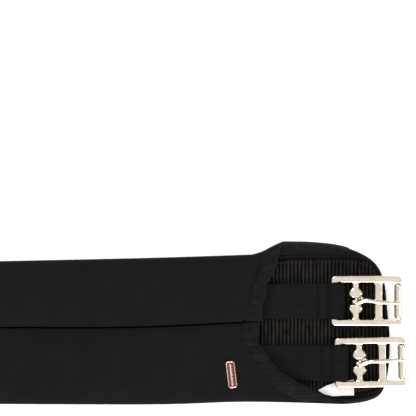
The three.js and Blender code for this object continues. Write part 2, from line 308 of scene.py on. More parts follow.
class Paint:
    """A Principled material with a few ways to add detail from procedural textures."""

    def __init__(self, name, roughness, metallic=0.0, sheen=0.0, specular=0.5):
        self.material = bpy.data.materials.new(name)
        self.material.use_nodes = True
        self.tree = self.material.node_tree
        self.shader = self.tree.nodes["Principled BSDF"]
        self.shader.inputs["Roughness"].default_value = roughness
        self.shader.inputs["Metallic"].default_value = metallic
        self.shader.inputs["Specular IOR Level"].default_value = specular
        self.shader.inputs["Sheen Weight"].default_value = sheen
        self.shader.inputs["Sheen Roughness"].default_value = 0.5
        self.place = self.tree.nodes.new("ShaderNodeTexCoord").outputs["Object"]
        self.height = None

    def node(self, kind, **settings):
        made = self.tree.nodes.new(kind)
        for key, value in settings.items():
            setattr(made, key, value)
        return made

    def link(self, a, b):
        self.tree.links.new(a, b)

    def speckle(self, scale, detail=3.0, stretch=(1, 1, 1)):
        """Noise; scale is the number of its lumps in a metre."""
        mapping = self.node("ShaderNodeMapping")
        mapping.inputs["Scale"].default_value = stretch
        self.link(self.place, mapping.inputs["Vector"])
        made = self.node("ShaderNodeTexNoise")
        made.inputs["Scale"].default_value = scale
        made.inputs["Detail"].default_value = detail
        self.link(mapping.outputs["Vector"], made.inputs["Vector"])
        return made.outputs["Fac"]

    def stripes(self, pitch, axis="X", distortion=0.0):
        """Parallel ridges, one every pitch millimetres along an axis."""
        made = self.node("ShaderNodeTexWave", bands_direction=axis, wave_profile="SIN")
        made.inputs["Scale"].default_value = math.pi / (10 * pitch * MM)
        made.inputs["Distortion"].default_value = distortion
        self.link(self.place, made.inputs["Vector"])
        return made.outputs["Fac"]

    def along(self, axis):
        """The place along one axis, in metres."""
        split = self.node("ShaderNodeSeparateXYZ")
        self.link(self.place, split.inputs["Vector"])
        return split.outputs[axis]

    def rib_height(self, pitch):
        """0 in the grooves between ribs that run across X, and 1 on their crests."""
        phase = self.calc("MULTIPLY", self.along("X"), math.pi / (pitch * MM))
        wave = self.calc("ABSOLUTE", self.calc("SINE", phase, 0), 0)
        return self.calc("POWER", wave, 0.8)

    def calc(self, operation, a, b):
        made = self.node("ShaderNodeMath", operation=operation)
        for socket, value in zip(made.inputs, (a, b)):
            if isinstance(value, (int, float)):
                socket.default_value = value
            else:
                self.link(value, socket)
        return made.outputs[0]

    def spread(self, factor, low, high):
        """Noise, which lies mostly between 0.3 and 0.7, stretched to run from low to high."""
        made = self.node("ShaderNodeMapRange")
        limits = {"From Min": 0.3, "From Max": 0.7, "To Min": low, "To Max": high}
        for name, value in limits.items():
            made.inputs[name].default_value = value
        self.link(factor, made.inputs["Value"])
        return made.outputs["Result"]

    def color_between(self, factor, dark, light):
        made = self.node("ShaderNodeMix", data_type="RGBA")
        self.link(self.spread(factor, 0, 1), made.inputs["Factor"])
        colors = [socket for socket in made.inputs if socket.type == "RGBA"]
        for socket, color in zip(colors, (dark, light)):
            socket.default_value = (*color, 1)
        result = next(socket for socket in made.outputs if socket.type == "RGBA")
        self.link(result, self.shader.inputs["Base Color"])

    def rough_between(self, factor, low, high):
        self.link(self.spread(factor, low, high), self.shader.inputs["Roughness"])

    def bump(self, height, strength, depth):
        """Relief; depth in millimetres."""
        made = self.node("ShaderNodeBump")
        made.inputs["Strength"].default_value = strength
        made.inputs["Distance"].default_value = depth * MM
        self.link(height, made.inputs["Height"])
        if self.height:
            self.link(self.height, made.inputs["Normal"])
        self.height = made.outputs["Normal"]
        self.link(self.height, self.shader.inputs["Normal"])


def neoprene():
    """Matte foam rubber faced with a fine knitted jersey."""
    p = Paint("neoprene_jersey", 0.9, sheen=0.02, specular=0.05)
    p.color_between(p.speckle(55, 4), (0.0058, 0.0050, 0.0062), (0.0073, 0.0062, 0.0077))
    p.rough_between(p.speckle(140, 3), 0.82, 0.95)
    knit = p.calc("MULTIPLY", p.stripes(0.8, "X", 0.6), p.stripes(0.62, "Y", 0.6))
    p.bump(knit, 0.35, 0.12)
    p.bump(p.speckle(230, 4), 0.3, 0.25)
    return p.material


def ribbed_webbing():
    """Heavy nylon belt; its ribs are in the mesh, its yarns in the relief, and painted shade darkens its
    grooves.
    """
    p = Paint("ribbed_webbing", 0.7, specular=0.04)
    yarns = p.calc("MULTIPLY", p.stripes(1.0, "Y", 0.8), p.speckle(260, 3))
    worn = p.calc("ADD", p.speckle(420, 3, (1, 0.25, 1)), p.calc("MULTIPLY", yarns, 0.5))
    # painted shade: the colour runs near black in the grooves between ribs and lighter on their crests
    groove_shade_tone = p.calc("MULTIPLY", worn, p.rib_height(RIB_PITCH))
    p.color_between(groove_shade_tone, (0.0012, 0.0011, 0.0009), (0.0215, 0.0186, 0.0158))
    p.rough_between(p.speckle(300, 3), 0.6, 0.8)
    p.bump(p.stripes(1.0, "Y", 0.8), 0.6, 0.3)
    p.bump(p.speckle(1500, 2, (1, 0.3, 1)), 0.35, 0.1)
    return p.material


def fine_elastic():
    """Woven rubber elastic, close and smooth, with faint ribs along it."""
    p = Paint("woven_elastic", 0.75, sheen=0.02, specular=0.06)
    p.color_between(p.speckle(160, 4, (0.35, 1, 1)), (0.0036, 0.0036, 0.0036), (0.0057, 0.0057, 0.0057))
    p.rough_between(p.speckle(260, 3), 0.68, 0.84)
    p.bump(p.stripes(0.9, "Y", 0.3), 0.45, 0.12)
    p.bump(p.stripes(0.7, "X", 0.8), 0.4, 0.1)
    p.bump(p.speckle(1300, 2), 0.25, 0.08)
    return p.material


def grosgrain_tape():
    """Brushed binding tape, a little lighter and browner than the neoprene."""
    p = Paint("binding_tape", 0.85, sheen=0.04, specular=0.08)
    p.color_between(p.speckle(190, 5), (0.0040, 0.0034, 0.0035), (0.0080, 0.0067, 0.0068))
    p.rough_between(p.speckle(220, 3), 0.75, 0.92)
    p.bump(p.speckle(900, 3), 0.4, 0.15)
    p.bump(p.speckle(150, 3), 0.4, 0.4)
    return p.material


def open_foam():
    """Black open-cell foam."""
    p = Paint("core_foam", 0.95, specular=0.02)
    p.color_between(p.speckle(700, 2), (0.0010, 0.0010, 0.0010), (0.0026, 0.0026, 0.0026))
    p.bump(p.speckle(1200, 2), 0.6, 0.3)
    return p.material


def polished_nickel():
    """Cast, polished nickel plate with a warm tint, fine polishing lines and faint wear."""
    p = Paint("polished_nickel", 0.16, metallic=1.0)
    p.color_between(p.speckle(160, 3), (0.71, 0.61, 0.50), (0.80, 0.72, 0.62))
    p.rough_between(p.speckle(420, 4, (1, 4, 1)), 0.08, 0.15)
    p.bump(p.speckle(260, 2), 0.12, 0.12)
    p.bump(p.speckle(2600, 2, (0.12, 1, 1)), 0.06, 0.02)
    return p.material


def copper_badge():
    """Rose copper, brighter where it is rubbed."""
    p = Paint("copper_badge", 0.3, metallic=1.0)
    raised = p.calc("MULTIPLY", p.calc("SUBTRACT", p.along("Z"), 0.66 * MM), 3000)
    p.color_between(p.calc("ADD", raised, p.speckle(900, 3)), (0.14, 0.07, 0.062), (0.60, 0.39, 0.33))
    p.rough_between(p.speckle(1100, 3), 0.22, 0.42)
    p.bump(p.speckle(3000, 2, (0.3, 1, 1)), 0.15, 0.03)
    return p.material


def satin_label():
    """White woven satin."""
    p = Paint("woven_label", 0.6, sheen=0.2)
    p.color_between(p.speckle(300, 3), (0.60, 0.60, 0.59), (0.69, 0.685, 0.68))
    p.bump(p.stripes(0.45, "X"), 0.3, 0.05)
    p.bump(p.stripes(0.5, "Y"), 0.3, 0.05)
    return p.material


def sewing_thread(name, dark, light):
    p = Paint(name, 0.7, specular=0.1)
    p.color_between(p.speckle(1500, 2), dark, light)
    p.bump(p.stripes(0.35, "Y", 1.0), 0.5, 0.08)
    return p.material


def studio_floor():
    """A white paper sweep."""
    p = Paint("studio_floor", 0.85, specular=0.2)
    p.shader.inputs["Emission Color"].default_value = (1, 1, 1, 1)
    p.shader.inputs["Emission Strength"].default_value = 0.30
    p.color_between(p.speckle(3, 2), (0.925, 0.925, 0.925), (0.94, 0.94, 0.94))
    return p.material


# ---------- the finishes ----------
NEOPRENE = neoprene()
WEBBING = ribbed_webbing()
ELASTIC = fine_elastic()
TAPE = grosgrain_tape()
FOAM = open_foam()
NICKEL = polished_nickel()
COPPER = copper_badge()
LABEL = satin_label()
BLACK_THREAD = sewing_thread("black_thread", (0.0014, 0.0013, 0.0013), (0.0036, 0.0033, 0.0032))
PALE_THREAD = sewing_thread("pale_thread", (0.016, 0.0155, 0.015), (0.045, 0.043, 0.041))
GREY_THREAD = sewing_thread("grey_thread", (0.010, 0.010, 0.0096), (0.022, 0.022, 0.021))


def settle(piece, body, slot, *replaced):
    """The piece rides on a body and stands for CAD nodes, which are hidden; slot is not used."""
    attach(piece, body)
    if replaced:
        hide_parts(*replaced)
    return piece


# ---------- camera, floor and light ----------
VIEW_WIDTH = 293.9        # of the girth's plane that the picture takes in
VIEW_CENTRE = (185.5, 81.7)
CAMERA_HEIGHT = 3000
SENSOR = 36
FLOOR_HALF = 6000
FLOOR_DROP = 0.2          # below the girth, so that the two never share a plane
LIGHT_TARGET = (0.25, 0, 0)
SOFTBOXES = {             # place, size and power, in metres and watts
    "key_softbox": ((-0.30, 1.15, 0.80), (0.8, 0.35), 14),
    "fill_softbox": ((0.40, -1.25, 0.66), (1.0, 0.35), 21),
    "side_softbox": ((1.45, -0.1, 0.85), (0.2, 0.6), 3.5),
}


def make_camera():
    data = bpy.data.cameras.new("camera")
    data.sensor_width = SENSOR
    data.lens = SENSOR * CAMERA_HEIGHT / VIEW_WIDTH
    data.clip_start, data.clip_end = 0.05, 20
    camera = new_object("camera", data)
    camera.location = (VIEW_CENTRE[0] * MM, VIEW_CENTRE[1] * MM, (CAMERA_HEIGHT + WING_TOP) * MM)
    bpy.context.scene.camera = camera


def make_floor():
    h = FLOOR_HALF
    corners = [(-h, -h, 0), (h, -h, 0), (h, h, 0), (-h, h, 0)]
    floor = mesh_object("studio_floor", corners, [(0, 1, 2, 3)], studio_floor())
    floor.location.z = -FLOOR_DROP * MM


def make_softbox(name, place, size, power):
    data = bpy.data.lights.new(name, "AREA")
    data.shape = "RECTANGLE"
    data.size, data.size_y = size
    data.energy = power
    lamp = new_object(name, data)
    lamp.location = place
    lamp.rotation_euler = (Vector(LIGHT_TARGET) - Vector(place)).to_track_quat("-Z", "Y").to_euler()


def make_light():
    """A white sky that darkens towards its horizon, and three softboxes."""
    world = bpy.data.worlds.new("studio")
    world.use_nodes = True
    tree = world.node_tree
    split = tree.nodes.new("ShaderNodeSeparateXYZ")
    ramp = tree.nodes.new("ShaderNodeValToRGB")
    tree.links.new(tree.nodes.new("ShaderNodeTexCoord").outputs["Generated"], split.inputs["Vector"])
    tree.links.new(split.outputs["Z"], ramp.inputs["Fac"])
    tree.links.new(ramp.outputs["Color"], tree.nodes["Background"].inputs["Color"])
    low, high = ramp.color_ramp.elements
    low.position, low.color = 0.02, (0.05, 0.04, 0.035, 1)
    high.position, high.color = 0.80, (1, 1, 1, 1)
    tree.nodes["Background"].inputs["Strength"].default_value = 1.0
    bpy.context.scene.world = world
    bpy.context.scene.view_settings.view_transform = "Standard"
    for name, (place, size, power) in SOFTBOXES.items():
        make_softbox(name, place, size, power)


# ---------- horse-side pad ----------
def closed_outline(right, low, step):
    """A whole outline, from its right half's top and end, and from its lower edge."""
    low = spline(low)[::-1]
    half = np.vstack([right, low[1:-1]])
    left = half[::-1] * (-1, 1)
    return resample(np.vstack([half, [low[-1]], left[:-1]]), step, closed=True)


def pad_outline():
    right = np.vstack([
        spline(BODY_TOP), spline(SHOULDER)[1:], spline([SHOULDER[-1], END_TOP[0]]), spline(END_TOP)[1:],
        spline([END_TOP[-1], END_LOW[0]])[1:], spline(END_LOW)[1:],
    ])
    return closed_outline(right, BODY_LOW, 1.8)


def web_outline():
    right = np.vstack([spline(WEB_TOP), spline(WEB_END_TOP)[1:], spline(WEB_END_LOW)])
    return closed_outline(right, WEB_LOW, 2.0)


def inward(outline):
    """Unit vectors into a clockwise outline."""
    along = np.roll(outline, -2, 0) - np.roll(outline, 2, 0)
    along /= np.linalg.norm(along, axis=1)[:, None]
    return np.stack([along[:, 1], -along[:, 0]], axis=1)


def distance_to(outline, points):
    """From each point to the nearest point of an outline."""
    out = np.empty(len(points))
    for start in range(0, len(points), 4000):
        block = points[start:start + 4000, None, :] - outline[None]
        out[start:start + 4000] = np.sqrt((block**2).sum(-1)).min(1)
    return out


def inside(outline, points):
    """Which points lie inside a closed outline."""
    x, y = points[:, 0], points[:, 1]
    found = np.zeros(len(points), bool)
    for (x0, y0), (x1, y1) in zip(outline, np.roll(outline, -1, 0)):
        if y0 == y1:
            continue
        found ^= ((y0 > y) != (y1 > y)) & (x < (x1 - x0) * (y - y0) / (y1 - y0) + x0)
    return found


END_NAMES = {1: "right", -1: "left"}
RIM_HEIGHT = 2.7          # the pad's rolled rim stands this far above its flat part
SEAM_OUT = 3.2            # from the webbing's edge to the rim's stitched seam
EDGE_Z = PAD_TOP * 0.45   # the widest line round the pad's rounded edge
EDGE_ROUND = 2.6
PAD_INSETS = (0, 0.25, 0.8, 1.5, 2.3, 3.2, 4.0, 4.8, 5.6, 6.4, 7.2, 7.9, 8.6, 9.3, 10.0, 10.8, 11.6, 12.6,
              13.8, 15.5)


def pad_ring(outline, web, inset):
    """The pad's outer surface along a line that keeps the same distance from its edge."""
    flat = outline + inward(outline) * inset
    rise = (PAD_TOP - EDGE_Z) * quarter_round(inset, EDGE_ROUND)
    free = np.where(inside(web, flat), 0, distance_to(web, flat))
    on_end = smooth((np.abs(flat[:, 0]) - 205) / 25)
    roll = RIM_HEIGHT * smooth(free / 3.0) * smooth(inset / 3.2) * on_end
    groove = 1.9 * np.exp(-((free - SEAM_OUT) / 0.8) ** 2) * on_end * smooth(free / 2) * smooth(inset / 3)
    ripple = np.array([0.12 * drift(px, py, 0, 14, 2.0) for px, py in flat])
    return np.column_stack([flat, EDGE_Z + rise + roll - groove + ripple * min(inset / 4, 1) * on_end])


def make_pad():
    outline = pad_outline()
    web = web_outline()
    rings = [pad_ring(outline, web, d) for d in PAD_INSETS]
    under = []
    for d in (0.25, 0.8, 1.6, EDGE_ROUND):
        z = EDGE_Z * (1 - quarter_round(d, EDGE_ROUND))
        under.append(np.column_stack([outline + inward(outline) * d, np.full(len(outline), z)]))
    loops = under[::-1] + rings
    count = len(outline)
    faces = grid_faces(len(loops), count, wrap_cols=True)
    faces += [tuple(range(count)), tuple(range((len(loops) - 1) * count, len(loops) * count))[::-1]]
    pad = mesh_object("horse_side_neoprene", np.vstack(loops), faces, NEOPRENE)
    settle(pad, "girth", "neoprene", "horse_side_pad")
    make_rim_stitches(web, outline, ray_tree(pad))
    for end in END_NAMES:
        make_rim_tape(outline, web, end)


def make_rim_tape(outline, web, end):
    """The tape that binds the top of the pad's rim, from the wing's corner outwards."""
    along = outline[:, 0] * end
    picked = np.where((along > 236.5) & (along < 286) & (outline[:, 1] > 45))[0]
    picked = picked[np.argsort(along[picked])]
    rows = []
    insets = (0, 0.25, 0.8, 1.5, 2.3, 3.2, 4.2, 5.0, 5.6)
    rings = np.array([pad_ring(outline, web, d)[picked] for d in insets])
    width = insets[-1] * (1 - 0.55 * smooth((along[picked] - 268) / 18))
    for share in np.array(insets) / insets[-1]:
        ring = np.array([[np.interp(share * width[i], insets, rings[:, i, k]) for k in range(3)]
                         for i in range(len(picked))])
        ring[:, 2] -= 0.08 + 0.3 * (share > 0.95)
        ring[-3:, 2] -= (0.2, 0.5, 0.9)
        rows.append(ring)
    faces = grid_faces(len(rows), len(picked))
    tape = mesh_object(f"rim_tape_{END_NAMES[end]}", np.vstack(rows), faces, TAPE)
    face_up(tape)
    thicken(tape, 0.75, outwards=True)
    subdivide(tape)
    shade(tape)
    settle(tape, "girth", "binding")


def drop_on(surface, x, y):
    """The height of a surface straight below a place, or None beside it."""
    hit = surface.ray_cast(Vector((x, y, 30)) * MM, Vector((0, 0, -1)))[0]
    return hit.z / MM if hit else None


def stitch_run(path, length=2.6, gap=0.9, radius=0.22, lift=0.1):
    """Separate stitches along a path, each a short thread that dips at both ends."""
    path = np.asarray(path, float)
    run = np.r_[0, np.cumsum(np.linalg.norm(np.diff(path, axis=0), axis=1))]
    parts = []
    start = 0.0
    while start + length < run[-1]:
        at = start + np.linspace(0, length, 6)
        line = np.stack([np.interp(at, run, path[:, k]) for k in range(3)], axis=1)
        line[:, 2] += lift * np.sin(np.linspace(0, math.pi, 6)) - 0.12
        parts.append(sweep(line, radius * np.array([0.55, 1, 1, 1, 1, 0.55]), 6))
        start += length + gap
    return join_parts(parts)


def make_rim_stitches(web, outline, surface):
    """Stitches in the groove between the rim and the webbing, laid on the pad."""
    into = inward(web)
    line = web - into * SEAM_OUT
    room = inside(outline, line) & (distance_to(outline, line) > 2.2) & (np.abs(line[:, 0]) > 240)
    parts = []
    for end in END_NAMES:
        for half in (line[:, 1] > 0, line[:, 1] <= 0):
            run = line[room & (line[:, 0] * end > 0) & half]
            run = run[np.argsort(run[:, 0] * end)]
            z = np.array([drop_on(surface, px, py) for px, py in run])
            parts.append(stitch_run(np.column_stack([run, z + 0.05])))
    stitches = mesh_object("rim_stitching", *join_parts(parts), BLACK_THREAD)
    settle(stitches, "girth", "thread")


# ---------- load webbing ----------
def make_webbing():
    """The belt as a grid: columns across it, several to a rib, clipped to its rounded ends."""
    top = np.vstack([spline(WEB_TOP, 14), spline(WEB_END_TOP, 14)[1:], [WEB_END_LOW[0]]])
    end_low = spline(WEB_END_LOW, 14)
    furthest = end_low[:, 0].argmax()
    low = np.vstack([spline(WEB_LOW, 14)[:-1], end_low[furthest:][::-1]])
    per_rib = 8
    reach = int(end_low[furthest, 0] / RIB_PITCH * per_rib)
    xs = np.arange(-reach, reach + 1) * RIB_PITCH / per_rib
    top_y = np.interp(np.abs(xs), top[:, 0], top[:, 1])
    low_y = np.interp(np.abs(xs), low[:, 0], low[:, 1])
    across = np.r_[0, 0.006, 0.014, 0.025, np.linspace(0.05, 0.95, 34), 0.975, 0.986, 0.994, 1]
    middle = (WEB_LOW_Z + WEB_TOP_Z) / 2
    upper, lower = [], []
    for t in across:
        y = low_y + (top_y - low_y) * t
        from_edge = min(t, 1 - t) * 95
        edge = max(quarter_round(from_edge, 1.2), 0.15)
        wave = np.abs(np.sin(math.pi * xs / RIB_PITCH)) ** 0.6
        body = WEB_TOP_Z - RIB_HEIGHT + RIB_HEIGHT * wave
        upper.append(np.column_stack([xs, y, middle + (body - middle) * edge]))
        lower.append(np.column_stack([xs, y, np.full(len(xs), middle + (WEB_LOW_Z - middle) * edge)]))
    loops = upper + lower[::-1]
    faces = band_faces(len(loops), len(xs))
    web = mesh_object("ribbed_load_webbing", np.vstack(loops), faces, WEBBING)
    settle(web, "girth", "webbing", "load_webbing")
    make_edge_stitches()


def make_edge_stitches():
    """A row of stitches just inside the webbing's edge at both of its ends."""
    outline = web_outline()
    line = outline + inward(outline) * 2.0
    parts = []
    for end in END_NAMES:
        for half in (line[:, 1] > 8, line[:, 1] < -10):
            run = line[(line[:, 0] * end > 232) & half]
            run = run[np.argsort(np.arctan2(run[:, 0] * end - 250, np.abs(run[:, 1])))]
            run = resample(np.column_stack([run, np.full(len(run), WEB_TOP_Z + 0.1)]), 0.5)
            parts.append(stitch_run(run, 1.5, 1.15, 0.22, 0.15))
    stitches = mesh_object("webbing_stitching", *join_parts(parts), PALE_THREAD)
    settle(stitches, "girth", "thread")


# ---------- the folded wings ----------
WING_THICK = 3.4
SLIT_HALF = 0.22
FOLD_ROUND, SLIT_ROUND = 9.0, 8.5          # widths of the wing's two rounded edges
END_THICKNESS = 0.84      # the wing's thickness at its bound end, as a share of that in the middle
CORNER_THICKNESS = 0.42   # and at the lower wing's long pointed corner


class Wing:
    """One folded neoprene wing: its fold line, its slit line and its curved, bound ends."""

    def __init__(self, upper):
        self.upper = upper
        self.side = 1 if upper else -1
        self.name = "upper" if upper else "lower"
        edge = np.array(UPPER_EDGE if upper else LOWER_EDGE, float)
        seam = np.array(UPPER_SEAM if upper else LOWER_SEAM, float)
        self.edge = spline(edge, 20)
        self.seam = spline(seam, 20)
        fold = np.vstack([spline(BODY_TOP, 14), spline(SHOULDER, 14)[1:]]) if upper else spline(BODY_LOW, 14)
        self.fold = lambda x: np.interp(np.abs(x), fold[:, 0], fold[:, 1])
        slit = spline(SLIT_LINE, 14)
        self.slit = lambda x: np.interp(np.abs(x), slit[:, 0], slit[:, 1]) + self.side * SLIT_HALF
        order = self.edge[self.edge[:, 1].argsort()]
        self.end_x = lambda y: np.interp(y, order[:, 1], order[:, 0]) - 1.3

    def rows(self):
        """Across the wing: (place, height). A place is millimetres in from the fold, or from the slit if
        it is negative, or a share of the width between the two rounded edges."""
        fold = [(1.6, 0.15), (0.7, 1.2), (0.15, 2.6), (0.0, 4.2), (0.25, 5.8), (1.0, 7.3), (2.3, 8.6),
                (4.0, 9.5), (6.2, 10.0), (9.0, 10.25)]
        slit = [(-8.5, 10.3), (-5.6, 10.2), (-3.4, 9.95), (-1.8, 9.4), (-0.8, 8.5), (-0.3, 7.4), (-0.5, 6.6)]
        middle = [(("share", s), 10.4 + 0.25 * math.sin(math.pi * s)) for s in np.linspace(0.06, 0.94, 11)]
        return fold + middle + slit

    def y_at(self, place, x):
        """Where a row of the wing's surface lies across the girth."""
        fold, slit = self.fold(x), self.slit(x)
        if isinstance(place, tuple):
            inner_fold = fold - self.side * FOLD_ROUND
            inner_slit = slit + self.side * SLIT_ROUND
            return inner_fold + (inner_slit - inner_fold) * place[1]
        if place >= 0:
            return fold - self.side * place
        return slit - self.side * place

    def surface(self, columns=150):
        """The wing's outer surface as rows of points; it thins towards its bound ends."""
        rows = self.rows()
        points = np.zeros((len(rows), columns, 3))
        for r, (place, height) in enumerate(rows):
            x_end = 230.0
            for _ in range(30):
                x_end = 0.5 * x_end + 0.5 * float(self.end_x(self.y_at(place, x_end)))
            u = np.linspace(-1, 1, columns)
            u = np.sign(u) * (1 - (1 - np.abs(u)) ** 1.25)
            x = u * x_end
            y = np.array([self.y_at(place, v) for v in x])
            off = x_end - np.abs(x)
            from_fold = np.abs(y - self.fold(x))
            low_end, reach = END_THICKNESS, 46
            if not self.upper:
                off_corner = smooth(from_fold / 16)
                low_end = CORNER_THICKNESS + (END_THICKNESS - CORNER_THICKNESS) * off_corner
                reach = 46 + 26 * (1 - off_corner)
            scale = low_end + (1 - low_end) * smooth(off / reach)
            points[r] = np.column_stack([x, y, WING_FOOT + height * scale])
        return points

    def make(self):
        points = self.surface()
        rows, columns, _ = points.shape
        for r in range(rows):
            for c in range(columns):
                x, y = points[r, c, :2]
                wave = 0.35 * drift(x, y, 0, 60, 4.0 + self.side) + 0.16 * drift(x, y, 0, 22, 7.0)
                points[r, c, 2] += wave * (0.3 if r < 3 else 1)
        faces = grid_faces(rows, columns)
        piece = mesh_object(f"{self.name}_neoprene_wing", points.reshape(-1, 3), faces, NEOPRENE)
        face_up(piece)
        held = np.zeros((rows, columns))
        held[:3] = held[-3:] = 1
        held[:, :2] = held[:, -2:] = 1
        held[3:5] = np.maximum(held[3:5], 0.4)
        inflate(piece, held.ravel(), 3.0, cap=1.6)
        thicken(piece, WING_THICK)
        subdivide(piece)
        shade(piece)
        return settle(piece, "girth", "neoprene", f"{self.name}_wing")


def face_up(piece):
    """An open sheet's normals point up and outwards."""
    total = sum((p.normal.z * p.area for p in piece.data.polygons), 0.0)
    if total < 0:
        piece.data.flip_normals()


# ---------- binding tape ----------
TAPE_THICK = 0.7
GATHERS = (5.6, 7.4, 4.6, 8.3, 6.1, 5.2, 9.0, 6.6)      # spacing of the creases where the tape is gathered


def gather_at(run, seed):
    """0 in a crease of the gathered tape and 1 on the pillow between two creases."""
    place = (run + 7.3 * seed) % sum(GATHERS)
    for spacing in GATHERS:
        if place < spacing:
            return abs(math.sin(math.pi * place / spacing)) ** 0.45
        place -= spacing
    return 0.0


TOP_SHARES = (1.0, 0.97, 0.9, 0.8, 0.68, 0.56, 0.44, 0.33, 0.24)          # from the seam to the edge
UNDER_SHARES = (0.2, 0.35, 0.5, 0.62)                                      # and back underneath
EDGE_TURNS = 7            # steps round the wing's edge
EDGE_OUT = 0.95           # the tape's edge stands this far out from the wing's
SLANT = 2.4               # how far a crease leans along the tape from its seam to its edge


class Binding:
    """Tape folded over a wing's bound end, gathered into small puckers where it goes round the curve."""

    def __init__(self, wing, wing_piece, end):
        self.wing, self.end = wing, end
        self.surface = ray_tree(wing_piece)
        self.seed = 11.0 + 5 * wing.side + 3 * end
        if wing.upper:
            steps, first, last, self.ruffle = 150, 0.004, 0.988, 0.8
            self.dents = ((30, 2.2, 5), (45.5, 1.5, 4))
        else:
            steps, first, last, self.ruffle = 230, 0.012, 0.965, 1.0
            self.dents = ((15.5, 2.4, 4.5), (29, 0.7, 3), (40, 0.9, 3))
        share = np.linspace(first, last, steps)
        self.edge = self.stations(wing.edge, share)
        self.seam = self.stations(wing.seam, share)
        self.run = np.r_[0, np.cumsum(np.linalg.norm(np.diff(self.edge, axis=0), axis=1))]

    @staticmethod
    def stations(curve, share):
        line = resample(curve, 0.2)
        return np.stack([np.interp(share, np.linspace(0, 1, len(line)), line[:, k]) for k in (0, 1)], 1)

    def wing_height(self, place):
        """The wing's top and bottom where the tape folds round its edge."""
        x, y = self.end * place[0], place[1]
        top = drop_on(self.surface, x, y)
        hit = self.surface.ray_cast(Vector((x, y, -5)) * MM, Vector((0, 0, 1)))[0]
        if top is None or hit is None:
            return WING_FOOT + 4.5, WING_FOOT + 0.6
        return top, hit.z / MM

    def section(self, i):
        """The tape's outline across one station: over the wing, round its edge and back under it."""
        run, ruffle, seed = self.run[i], self.ruffle, self.seed
        back = self.seam[i] - self.edge[i]
        reach = np.linalg.norm(back)
        back /= reach
        sway = ruffle * 0.7 * drift(run, 0, 0, 9, seed + 5)
        sway -= sum(depth * math.exp(-((run - at) / width) ** 2) for at, depth, width in self.dents)
        out_edge = self.edge[i] - back * (sway - EDGE_OUT)
        top, bottom = self.wing_height(self.edge[i] + back * 1.9)
        line = []
        hem = ruffle * (1.1 * gather_at(run, seed) - 0.5)
        for w in TOP_SHARES:
            p = out_edge + back * ((reach - EDGE_OUT) * w + hem * w)
            z = drop_on(self.surface, self.end * p[0], p[1])
            z = top if z is None else z
            pillow = gather_at(run + SLANT * (1 - w), seed)
            puff = (0.15 + 1.3 * ruffle * pillow) * math.sin(math.pi * min(0.97, 0.12 + 0.85 * w)) ** 0.7
            line.append((*p, z + 0.1 + puff * (w < 0.985)))
        pillow = gather_at(run + SLANT, seed)
        half = (top + 0.3 + 0.5 * ruffle * pillow - (bottom - 0.35)) / 2
        bulge = 1.4 + 0.7 * ruffle * (pillow - 0.5)
        for k in range(1, EDGE_TURNS):
            angle = math.pi / 2 - math.pi * k / EDGE_TURNS
            p = out_edge + back * (1.4 - bulge * math.cos(angle))
            line.append((*p, (top + bottom) / 2 + half * math.sin(angle)))
        return line + [(*(out_edge + back * reach * w), bottom - 0.3) for w in UNDER_SHARES]

    def make(self):
        points = np.array([self.section(i) for i in range(len(self.run))])
        points[..., 0] *= self.end
        points[..., 2] = np.maximum(points[..., 2], STRAP_TOP + 0.35)
        rows, across = points.shape[:2]
        name = f"{self.wing.name}_{END_NAMES[self.end]}"
        tape = mesh_object(f"binding_tape_{name}", points.reshape(-1, 3), grid_faces(rows, across), TAPE)
        on_top = tape.data.polygons[rows // 2 * (across - 1) + 4]
        if on_top.normal.z < 0:
            tape.data.flip_normals()
        thicken(tape, TAPE_THICK, outwards=True)
        subdivide(tape)
        shade(tape)
        settle(tape, "girth", "binding", f"binding_{name}")
        seam_line = points[:, 2] + (0, 0, TAPE_THICK + 0.1)
        stitches = stitch_run(resample(seam_line, 0.5), 2.2, 0.8, 0.2)
        settle(mesh_object(f"binding_stitching_{name}", *stitches, BLACK_THREAD), "girth", "thread")


# ---------- foam core ----------
def make_core():
    """The foam slab inside, its edges softened."""
    mesh = frame["nodes"]["core_foam"].data.copy()
    piece = new_object("core_foam_slab", mesh)
    mesh.materials.clear()
    mesh.materials.append(FOAM)
    edge = piece.modifiers.new("soft_edge", "BEVEL")
    edge.width = 1.2 * MM
    edge.segments = 3
    apply_modifiers(piece)
    shade(piece, 40)
    settle(piece, "girth", "foam", "core_foam")


# ---------- straps ----------
STRAP_W = 24.8
STRAP_THICK = STRAP_TOP - STRAP_LOW
LOOP_X = 2.7
LOOP_R = 3.0
FOLD_END = 11.4           # where the folded-back layer stops


def heel_frame(name):
    """Where a strap's buckle hangs: its heel bar's place, and the way out along the strap."""
    joint = JOINTS[f"buckle_swing_{name}"]
    out = JOINTS[f"strap_stretch_{name}"]["axis"][0]
    return np.array(joint["pos_m"]) / MM, out


def strap_line(anchor):
    """The strap's middle line in X and Z, from its sewn end, round the heel bar and back."""
    low, doubled = -LOOP_R, -LOOP_R + STRAP_THICK
    straight = np.column_stack([np.linspace(anchor, LOOP_X, 70), np.full(70, low)])
    angle = np.linspace(-90, 90, 22)[1:]
    turn = np.column_stack([LOOP_X + LOOP_R * np.cos(np.radians(angle)), LOOP_R * np.sin(np.radians(angle))])
    t = np.linspace(0, 1, 20)[1:, None]
    a, b, c, d = (np.array(p) for p in ((0.5, LOOP_R), (-3.4, LOOP_R), (-4.2, doubled), (-8.5, doubled)))
    fall = (1 - t)**3 * a + 3 * (1 - t)**2 * t * b + 3 * (1 - t) * t**2 * c + t**3 * d
    tail = np.column_stack([np.linspace(-8.5, -FOLD_END, 6)[1:], np.full(5, doubled)])
    return np.vstack([straight, turn, fall, tail])


